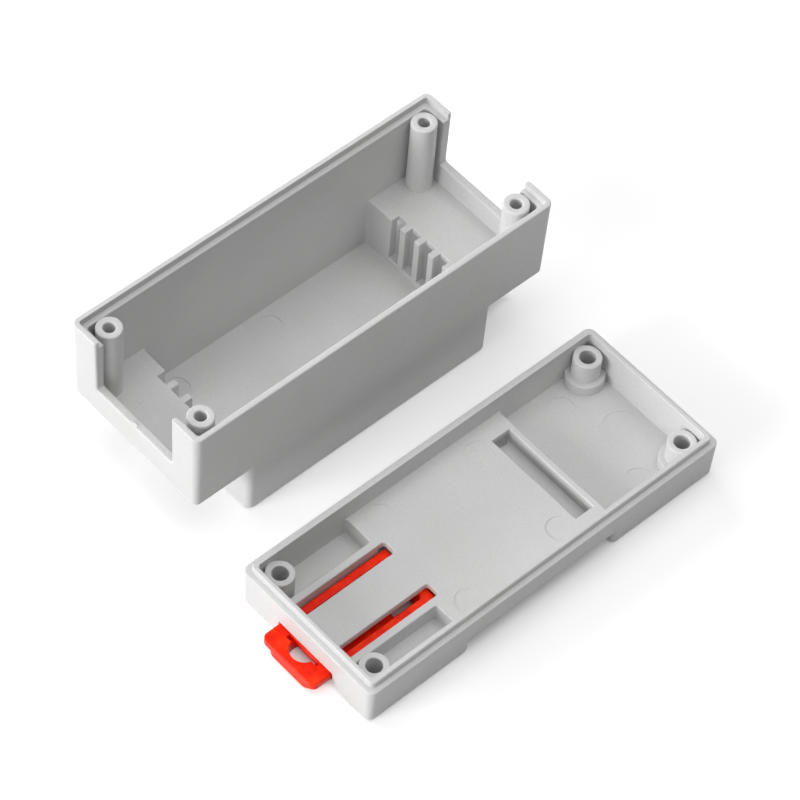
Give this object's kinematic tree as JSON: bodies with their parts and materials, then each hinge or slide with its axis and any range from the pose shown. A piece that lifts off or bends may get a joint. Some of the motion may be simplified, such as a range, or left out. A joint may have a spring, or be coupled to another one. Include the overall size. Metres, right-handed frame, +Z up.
{
  "type": "din rail enclosure",
  "caption": "Opened two-part plastic rail enclosure: stepped vented cover beside a shallow base tray with screw posts and a sliding rail clip.",
  "frame": {"origin": "centre of the bottom of the box round both halves, on the surface that they lie on", "axes": "+X along the enclosure away from the clip's tab, +Y from the base towards the cover, +Z up"},
  "size_m": [0.0922, 0.0848, 0.0344],
  "materials": {
    "housing_plastic": "fine satin, light grey moulded plastic",
    "clip_plastic": "smooth red-orange moulded plastic"
  },
  "bodies": {
    "housing": {"cover_shell": "housing_plastic", "base_shell": "housing_plastic"},
    "clip": {"rail_clip": "clip_plastic"}
  },
  "joints": [
    {"name": "clip_slide", "type": "slide", "parent": "housing", "child": "clip", "axis": [-1, 0, 0], "range_m": [0, 0.0032], "stiffness_N_per_m": 800, "springref_m": -0.0005}
  ]
}
